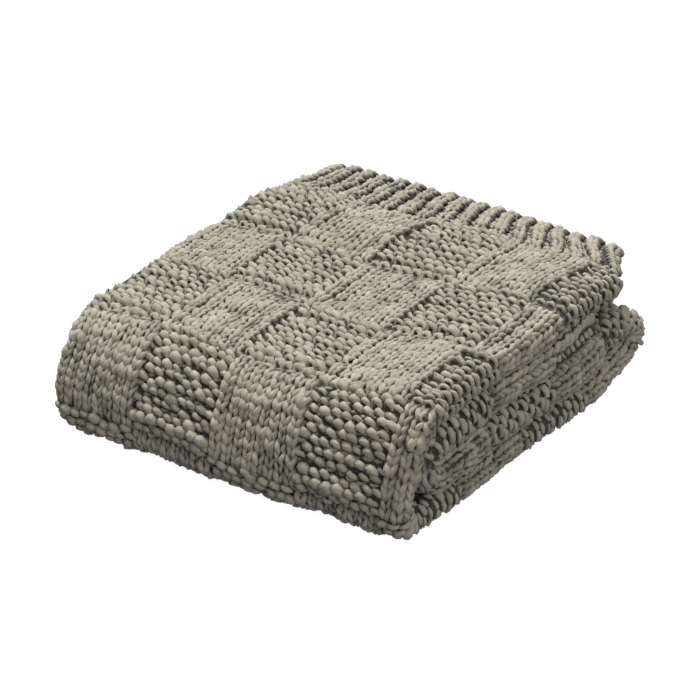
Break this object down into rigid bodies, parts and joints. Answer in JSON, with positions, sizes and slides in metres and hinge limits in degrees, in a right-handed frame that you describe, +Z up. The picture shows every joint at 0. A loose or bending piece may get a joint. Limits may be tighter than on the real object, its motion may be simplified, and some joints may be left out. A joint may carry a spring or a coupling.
{
  "type": "folded knit throw blanket",
  "caption": "Chunky basket-weave knit throw with ribbed borders, folded lengthwise and then crosswise into a soft rectangular packet.",
  "frame": {"origin": "middle of the packet's box, on the surface that it lies on", "axes": "+X across the packet, from the free side edges on the left to the last lengthwise fold on the right; +Y from the front fold to the ribbed end at the back; +Z up"},
  "size_m": [0.3358, 0.3944, 0.1038],
  "materials": {
    "yarn": "matte thick-and-thin knitted yarn, grey-beige"
  },
  "bodies": {
    "root": {"throw": "yarn"}
  },
  "joints": []
}
